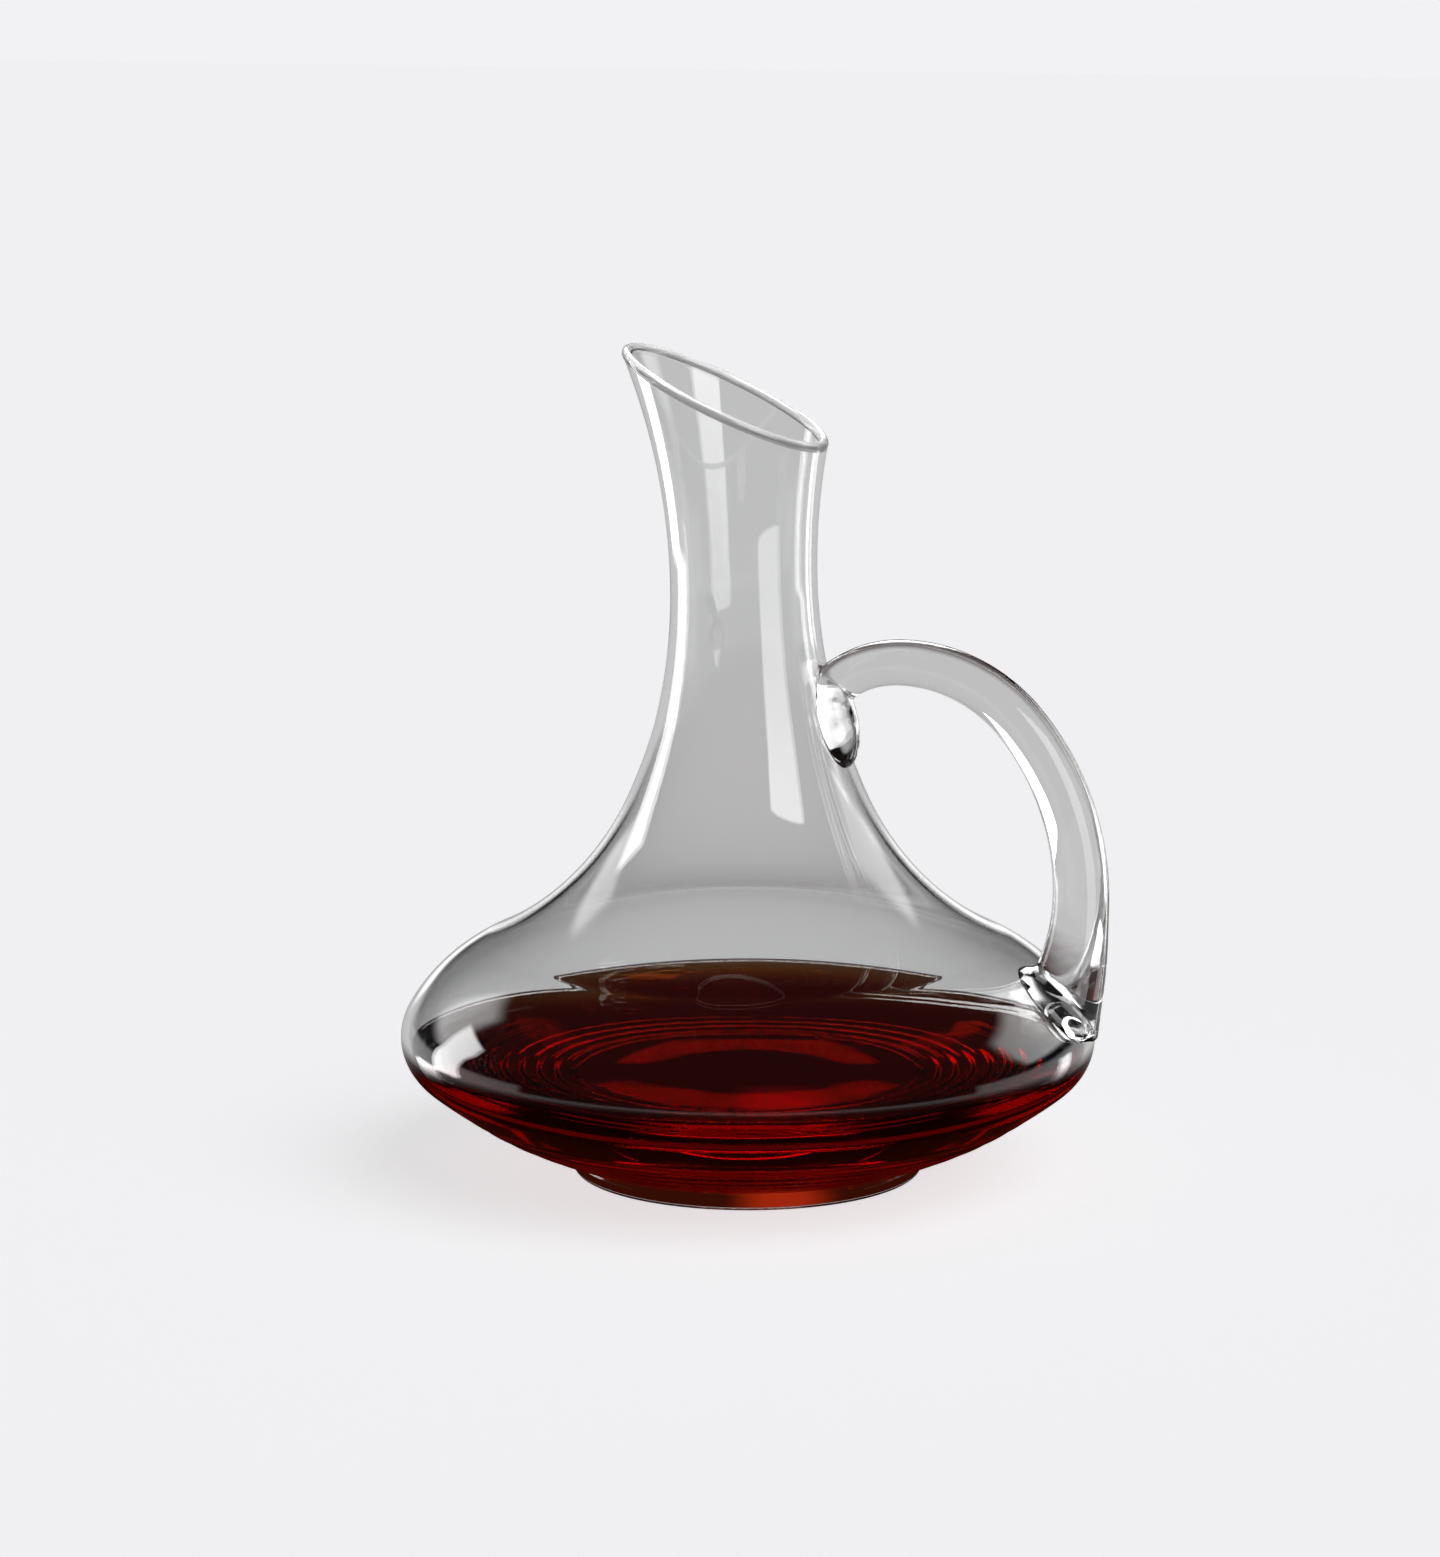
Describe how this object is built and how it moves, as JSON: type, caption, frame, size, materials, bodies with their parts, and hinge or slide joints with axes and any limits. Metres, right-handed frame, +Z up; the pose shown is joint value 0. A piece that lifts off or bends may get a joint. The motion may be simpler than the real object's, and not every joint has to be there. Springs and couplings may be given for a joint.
{
  "type": "wine decanter",
  "caption": "Clear glass wine decanter: wide flattened bowl on a foot, slender neck with a slanted flared mouth, solid loop handle, part filled with red wine.",
  "frame": {"origin": "on the bowl's axis, on the surface that the foot stands on", "axes": "+Z up along the bowl's axis, +X towards the handle, -X towards the pouring lip"},
  "size_m": [0.2051, 0.2, 0.2382],
  "materials": {
    "blown_glass": "polished",
    "foot_glass": "polished",
    "rod_glass": "polished",
    "red_wine": "gloss"
  },
  "bodies": {
    "root": {"vessel": "blown_glass", "foot": "foot_glass", "handle": "rod_glass", "wine": "red_wine"}
  },
  "joints": []
}
